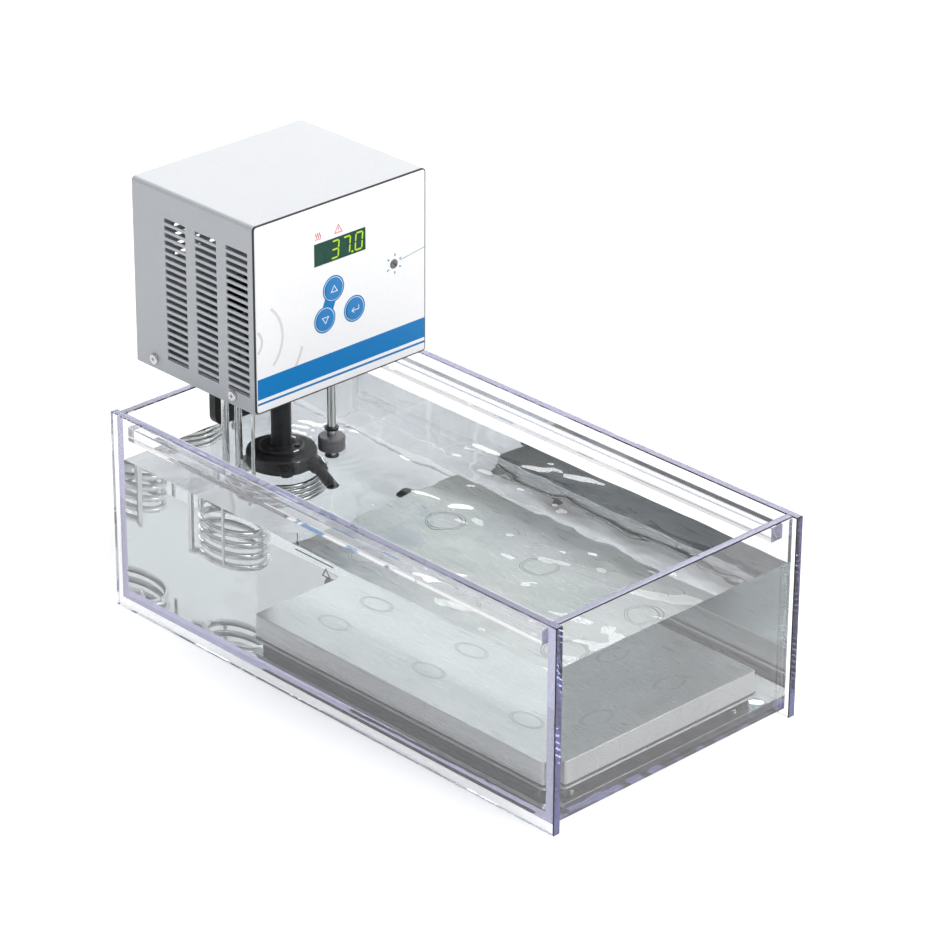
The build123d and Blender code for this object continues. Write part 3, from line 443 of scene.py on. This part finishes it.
last_left = window_high[1] - digit_width - digit_inset
digit("0", last_left)
digit("7", last_left - digit_width - digit_gap - dot_width)
digit("3", last_left - 2 * (digit_width + digit_gap) - dot_width)
dot = arc(last_left - digit_gap / 2 - dot_width / 2, digit_base, dot_radius, 0, 360, 16)[:-1]
patch(digits, dot, on_window, film_low, film_high)
piece("display_digits", digits, digit_ink, "thermostat")

# Level line, tick and triangle printed on the near wall
wall_low, wall_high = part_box("tank_front_wall")
on_wall = wall_point(wall_low[1])
line_z = water_level - print_drop
print_shape = bmesh.new()
level_line = [(-17.0 * mm, line_z), (31.0 * mm, line_z)]
shaft = [(-14.0 * mm, line_z + 16 * mm), (-14.0 * mm, line_z + 5 * mm)]
barb = [(-15.6 * mm, line_z + 7.6 * mm), (-14.0 * mm, line_z + 4.6 * mm),
        (-12.4 * mm, line_z + 7.6 * mm)]
warning = [(17.5 * mm, line_z - 12 * mm), (26.5 * mm, line_z - 12 * mm),
           (22.0 * mm, line_z - 4.4 * mm)]
ribbon(print_shape, level_line, level_stroke, on_wall, film_low, film_high)
ribbon(print_shape, shaft, mark_stroke, on_wall, film_low, film_high)
ribbon(print_shape, barb, mark_stroke, on_wall, film_low, film_high)
ribbon(print_shape, warning, mark_stroke, on_wall, film_low, film_high, True)
piece("level_print", print_shape, grey_ink, "tank")

# Etched rings that mark the stirring places
cover_low, cover_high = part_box("stirrer_cover")
on_cover = flat_point(cover_high[2])
cover_x = (cover_low[0] + cover_high[0]) / 2
marks = bmesh.new()
for column in (-1, 0, 1):
    for row in (-0.5, 0.5):
        for radius in place_radii:
            ring = arc(cover_x + column * place_pitch_x, row * place_pitch_y, radius * mm, 0, 360, 64)
            ribbon(marks, ring[:-1], place_stroke, on_cover, film_low, film_high, True)
piece("stirring_places", marks, mark_ink, "stirrer")


# ------------------------------------------------------------------ water
floor_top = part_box("tank_floor")[1][2]
left_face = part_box("tank_left_wall")[1][0]
right_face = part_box("tank_right_wall")[0][0]
near_face = wall_high[1]
far_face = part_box("tank_rear_wall")[0][1]
pump = middle("pump_column")
stem = middle("float_stem")


def ripple(x, y):
    """Height of the water surface above its level, in metres: waves that grow over the stirrer
    plate and near the pump, and rings round the pump's column and the float's stem."""
    over_plate = 1 / (1 + exp(-(x + 0.075) / 0.02))
    near_pump = exp(-(((x - pump[0]) / 0.07) ** 2 + ((y - pump[1]) / 0.07) ** 2))
    stir = 0.12 + 0.88 * over_plate + 0.55 * near_pump
    drift = 0.02 * noise.noise((14 * x, 14 * y, 5.1))
    swell = 1.1 * noise.noise((10 * x, 15 * y, 0.3))
    chop = 0.75 * noise.noise((26 * (x + drift), 46 * (y + drift), 1.7))
    glint = 0.16 * noise.noise((60 * (x + drift), 86 * (y - drift), 4.2))
    height = stir * (swell + chop + glint) * mm
    for cx, cy, size in ((pump[0], pump[1], 0.26), (stem[0], stem[1], 0.13)):
        away = hypot(x - cx, y - cy)
        height += size * mm * sin(away / (1.7 * mm)) * exp(-away / (24 * mm))
    return height


def water_body():
    """One closed body of water with a gently rippled top."""
    across, deep = 300, 150
    shape = bmesh.new()
    x0, x1 = left_face + water_gap, right_face - water_gap
    y0, y1 = near_face + water_gap, far_face - water_gap
    xs = [x0 + (x1 - x0) * i / across for i in range(across + 1)]
    ys = [y0 + (y1 - y0) * j / deep for j in range(deep + 1)]
    bottom_z = floor_top + water_gap
    top = [[shape.verts.new((x, y, water_level + ripple(x, y))) for y in ys] for x in xs]
    rim = [(i, 0) for i in range(across)] + [(across, j) for j in range(deep)]
    rim += [(i, deep) for i in range(across, 0, -1)] + [(0, j) for j in range(deep, 0, -1)]
    for i in range(across):
        for j in range(deep):
            face = shape.faces.new((top[i][j], top[i + 1][j], top[i + 1][j + 1], top[i][j + 1]))
            face.smooth = True
    foot = [shape.verts.new((xs[i], ys[j], bottom_z)) for i, j in rim]
    for k in range(len(rim)):
        n = (k + 1) % len(rim)
        a, b = top[rim[k][0]][rim[k][1]], top[rim[n][0]][rim[n][1]]
        shape.faces.new((a, foot[k], foot[n], b))
        shape.edges.get((a, b)).smooth = False
    shape.faces.new(foot[::-1])
    return shape


water = clear("water", 1.333, (0.50, 0.59, 0.60), 3.0, (0.0, 0.0), (12.0, 0.0))
piece("bath_water", water_body(), water, "tank")

# ------------------------------------------------------------------ floor, lights and camera
floor_tone, floor_tree, floor_out = blank("bench")
speck = cloud(floor_tree, coordinates(floor_tree), 9.0, 5.0)
pale = blend_colors(floor_tree, spread(floor_tree, speck, 0, 1), (0.945, 0.945, 0.945),
                    (0.955, 0.955, 0.955))
bench = node(floor_tree, "BsdfPrincipled", {
    "Base Color": pale, "Roughness": spread(floor_tree, speck, 0.8, 0.85),
    "Specular IOR Level": 0.1,
    "Emission Color": rgb((1.0, 1.0, 1.0)), "Emission Strength": 0.25})
floor_tree.links.new(bench.outputs[0], floor_out.inputs["Surface"])
ground = bmesh.new()
bmesh.ops.create_grid(ground, x_segments=8, y_segments=8, size=12.0)
floor_mesh = bpy.data.meshes.new("floor")
ground.to_mesh(floor_mesh)
ground.free()
floor_mesh.materials.append(floor_tone)
floor = bpy.data.objects.new("floor", floor_mesh)
floor.location.z = -floor_drop
bpy.context.scene.collection.objects.link(floor)

world = bpy.data.worlds.new("studio")
bpy.context.scene.world = world
world.use_nodes = True
sky = world.node_tree
sky.nodes.clear()
toward = node(sky, "TexCoord").outputs["Generated"]
axes = node(sky, "SeparateXYZ", {0: toward}).outputs


def scaled(value, factor, plus):
    return node(sky, "Math", {0: value, 1: factor, 2: plus}, operation="MULTIPLY_ADD").outputs[0]


# Brighter overhead and at the front end, darker towards the near side
sky_base, sky_rise, front_gain, near_fall, sky_least = 0.86, 0.33, 0.08, 1.5, 0.08
cool_tint, neutral_tint = (0.80, 0.90, 1.16), (1.01, 1.0, 0.985)
level = scaled(axes[2], sky_rise, sky_base)
level = node(sky, "Math", {0: level, 1: scaled(axes[0], front_gain, 0.0)}, operation="ADD").outputs[0]
near_side = node(sky, "Math", {0: axes[1], 1: 0.0}, operation="MINIMUM").outputs[0]
level = node(sky, "Math", {0: level, 1: scaled(near_side, near_fall, 0.0)}, operation="ADD").outputs[0]
level = node(sky, "Math", {0: level, 1: sky_least}, operation="MAXIMUM").outputs[0]
shaded = blend_colors(sky, scaled(axes[1], 1.1, 1.0), cool_tint, neutral_tint)
ambience = node(sky, "Background", {"Color": shaded, "Strength": level})
node(sky, "OutputWorld", {"Surface": ambience.outputs[0]})


def softbox(name, place, aim, size, power):
    """A rectangular area light at place, facing aim. size is (width, height)."""
    lamp = bpy.data.lights.new(name, "AREA")
    lamp.shape = "RECTANGLE"
    lamp.size, lamp.size_y = size
    lamp.energy = power
    obj = bpy.data.objects.new(name, lamp)
    obj.location = place
    obj.rotation_euler = (Vector(aim) - Vector(place)).to_track_quat("-Z", "Y").to_euler()
    bpy.context.scene.collection.objects.link(obj)
    return obj


softbox("key_light", (4.2, 1.0, 4.6), (0, 0, 0.15), (4.0, 4.0), 132)
for strip in (softbox("rear_strip_low", (-2.8, 2.9, 1.55), (0, 0, 0.1), (3.0, 0.45), 26),
              softbox("rear_strip_high", (-2.5, 2.6, 2.75), (0, 0, 0.1), (3.0, 0.50), 22)):
    strip.visible_diffuse = False
overhead = bpy.data.lights.new("overhead", "SUN")
overhead.energy = 0.35
overhead.angle = 1.4  # radians: a wide, soft source
overhead_lamp = bpy.data.objects.new("overhead", overhead)
overhead_lamp.rotation_euler = (0.0, 0.12, 0.0)
bpy.context.scene.collection.objects.link(overhead_lamp)

azimuth, elevation, roll = radians(46.0212), radians(26.0629), radians(0.3139)
distance = 3.5909
target = Vector((-0.0021, 0.04175, 0.16598))
back = Vector((sin(azimuth) * cos(elevation), -cos(azimuth) * cos(elevation), sin(elevation)))
level_right = Vector((0, 0, 1)).cross(back).normalized()
level_up = back.cross(level_right)
right = cos(roll) * level_right + sin(roll) * level_up
upward = -sin(roll) * level_right + cos(roll) * level_up
lens = bpy.data.cameras.new("camera")
lens.lens = 158.9
lens.sensor_width = 36.0
lens.clip_end = 50.0
camera = bpy.data.objects.new("camera", lens)
camera.matrix_world = Matrix.Translation(target + back * distance) @ Matrix(
    (right, upward, back)).transposed().to_4x4()
bpy.context.scene.collection.objects.link(camera)
bpy.context.scene.camera = camera

scene = bpy.context.scene
scene.view_settings.view_transform = "Standard"
scene.cycles.max_bounces = 64
scene.cycles.transmission_bounces = 60
scene.cycles.transparent_max_bounces = 32
scene.cycles.glossy_bounces = 60
scene.cycles.volume_bounces = 0
